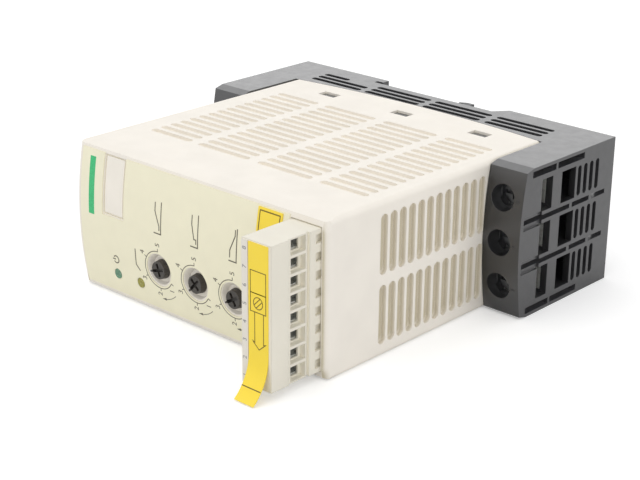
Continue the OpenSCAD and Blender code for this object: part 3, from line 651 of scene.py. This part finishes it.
def way_numbers():
    """Numbers printed on the plug's marking strip, one for each way."""
    low, high = box_mm("plug_housing")
    pitch = (high.z - low.z) / WAYS
    x = middle("plug_marker_strip")[0]
    marks = Marks()
    for k in range(WAYS):
        marks.text(str(k + 1), WAY_NUMBER_SIZE, (x, low.z + (k + 0.5) * pitch))
    marks.lay("way_numbers", "plug_marker_strip", INKS["strip"], body="control_plug")


def pole_numbers():
    """Raised numbers on the base's arms: odd on the line side, even on the load side."""
    for screws, out, first in (("line_screws", -POLE_NUMBER_OUT, 1), ("load_screws", POLE_NUMBER_OUT, 2)):
        x = middle(screws)[0] + out
        marks = Marks()
        for k in range(POLES):
            z = (k - (POLES - 1) / 2) * POLE_PITCH
            marks.text(str(first + 2 * k), POLE_NUMBER_SIZE, (x, z))
        marks.lay(f"{screws}_numbers", "rear_base", LOOKS["grey_plastic"], thick=POLE_NUMBER_THICK)


way_numbers()
pole_numbers()


# Floor, light and camera

FLOOR_HALF = 3000
FLOOR_GAP = 0.05
FLOOR_LIFT = 0.3
FLOOR_TONES = ((0.88, 0.88, 0.88, 1), (0.9, 0.9, 0.9, 1))
# Place and size in metres, and power in watts
LIGHTS = {
    "key": ((-0.15, -0.40, 1.00), 0.9, 2.45),
    "fill": ((0.95, -0.25, 0.45), 0.7, 0.95),
}
LIGHTS_AIM = (0, -0.05, 0)
# Strength of the world on surfaces, and as the camera and reflections see it
AMBIENT = 0.78
BACKDROP = 1.4


def floor():
    """Pale floor, lifted to white for the camera where no shadow falls."""
    mesh = bpy.data.meshes.new("floor")
    low = cad_box[0].z - FLOOR_GAP * MM
    square = ((-1, -1), (1, -1), (1, 1), (-1, 1))
    corners = [(x * FLOOR_HALF * MM, y * FLOOR_HALF * MM, low) for x, y in square]
    mesh.from_pydata(corners, [], [(0, 1, 2, 3)])
    piece = bpy.data.objects.new("floor", mesh)
    bpy.context.scene.collection.objects.link(piece)
    look = Look("floor", {"Specular IOR Level": 0.1, "Emission Color": (1, 1, 1, 1)})
    look.colour(look.ramp(look.noise(60, detail=3), *FLOOR_TONES))
    look.roughness(look.between(look.noise(20), 0.8, 0.9))
    seen = look.add("ShaderNodeLightPath").outputs["Is Camera Ray"]
    look.link(look.between(seen, 0, FLOOR_LIFT, start=0, end=1), look.shader.inputs["Emission Strength"])
    mesh.materials.append(look.material)


def softbox(name, place, size, power):
    """Square area light that faces the object."""
    lamp = bpy.data.lights.new(name, "AREA")
    lamp.size = size
    lamp.energy = power
    holder = bpy.data.objects.new(name, lamp)
    holder.location = place
    holder.rotation_euler = (Vector(LIGHTS_AIM) - Vector(place)).to_track_quat("-Z", "Y").to_euler()
    bpy.context.scene.collection.objects.link(holder)


def surroundings():
    """Bright backdrop for the camera and in reflections, and a soft even light on surfaces."""
    world = bpy.data.worlds.new("studio")
    world.use_nodes = True
    tree = world.node_tree
    path = tree.nodes.new("ShaderNodeLightPath")
    total = path.outputs["Is Camera Ray"]
    for kind in ("Is Glossy Ray", "Is Transmission Ray"):
        top = tree.nodes.new("ShaderNodeMath")
        top.operation = "MAXIMUM"
        tree.links.new(total, top.inputs[0])
        tree.links.new(path.outputs[kind], top.inputs[1])
        total = top.outputs["Value"]
    strength = tree.nodes.new("ShaderNodeMapRange")
    strength.inputs["To Min"].default_value = AMBIENT
    strength.inputs["To Max"].default_value = BACKDROP
    tree.links.new(total, strength.inputs["Value"])
    background = tree.nodes["Background"]
    background.inputs["Color"].default_value = (1, 1, 1, 1)
    tree.links.new(strength.outputs["Result"], background.inputs["Strength"])
    bpy.context.scene.world = world


CAMERA_AT = (303.08, -377.03, 158.93)
CAMERA_AZIMUTH = 42.426
CAMERA_ELEVATION = 21.243
CAMERA_ROLL = 0.594
CAMERA_LENS = 87.28
CAMERA_SENSOR = 36


def camera():
    """Camera fitted to the photo's edges, in millimetres and degrees."""
    azimuth, elevation, roll = (math.radians(a) for a in (CAMERA_AZIMUTH, CAMERA_ELEVATION, CAMERA_ROLL))
    away = math.cos(elevation)
    back = Vector((math.sin(azimuth) * away, -math.cos(azimuth) * away, math.sin(elevation)))
    level = Vector((0, 0, 1)).cross(back).normalized()
    upright = back.cross(level)
    right = math.cos(roll) * level + math.sin(roll) * upright
    up = math.cos(roll) * upright - math.sin(roll) * level
    data = bpy.data.cameras.new("camera")
    data.sensor_width = CAMERA_SENSOR
    data.lens = CAMERA_LENS
    holder = bpy.data.objects.new("camera", data)
    turn = Matrix((right, up, back)).transposed().to_4x4()
    holder.matrix_world = Matrix.Translation(Vector(CAMERA_AT) * MM) @ turn
    bpy.context.scene.collection.objects.link(holder)
    bpy.context.scene.camera = holder


floor()
for name, light in LIGHTS.items():
    softbox(name, *light)
surroundings()
camera()
bpy.context.scene.view_settings.view_transform = "Standard"
